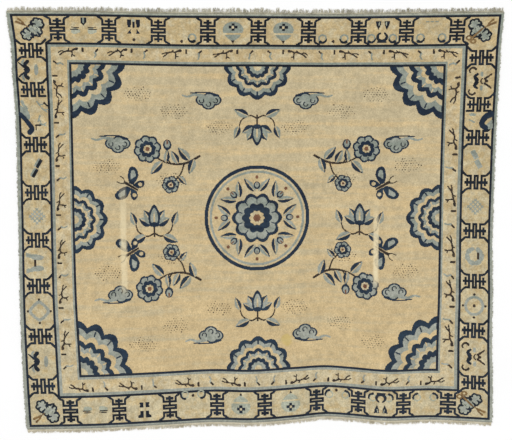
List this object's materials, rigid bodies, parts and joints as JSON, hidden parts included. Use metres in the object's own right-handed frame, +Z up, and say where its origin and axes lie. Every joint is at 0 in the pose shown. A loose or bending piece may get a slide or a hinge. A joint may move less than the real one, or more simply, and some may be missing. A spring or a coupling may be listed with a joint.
{
  "type": "peking rug",
  "caption": "Flat knotted wool pile rug that narrows towards one end, with wandering edges, woven end webs and short warp fringes, for lying on a room floor.",
  "frame": {"origin": "middle of the rug's box, on the floor", "axes": "+X across the rug, along its longer extent; +Y along the warps towards the wider end; +Z up out of the pile"},
  "size_m": [2.791, 2.3936, 0.009],
  "materials": {
    "pile_wool": "matt wool pile, beige ground with indigo and pale blue figures",
    "warp_cotton": "matt undyed cotton yarn"
  },
  "bodies": {
    "root": {"rug_body": "pile_wool", "fringe_top": "warp_cotton", "fringe_bottom": "warp_cotton"}
  },
  "joints": []
}
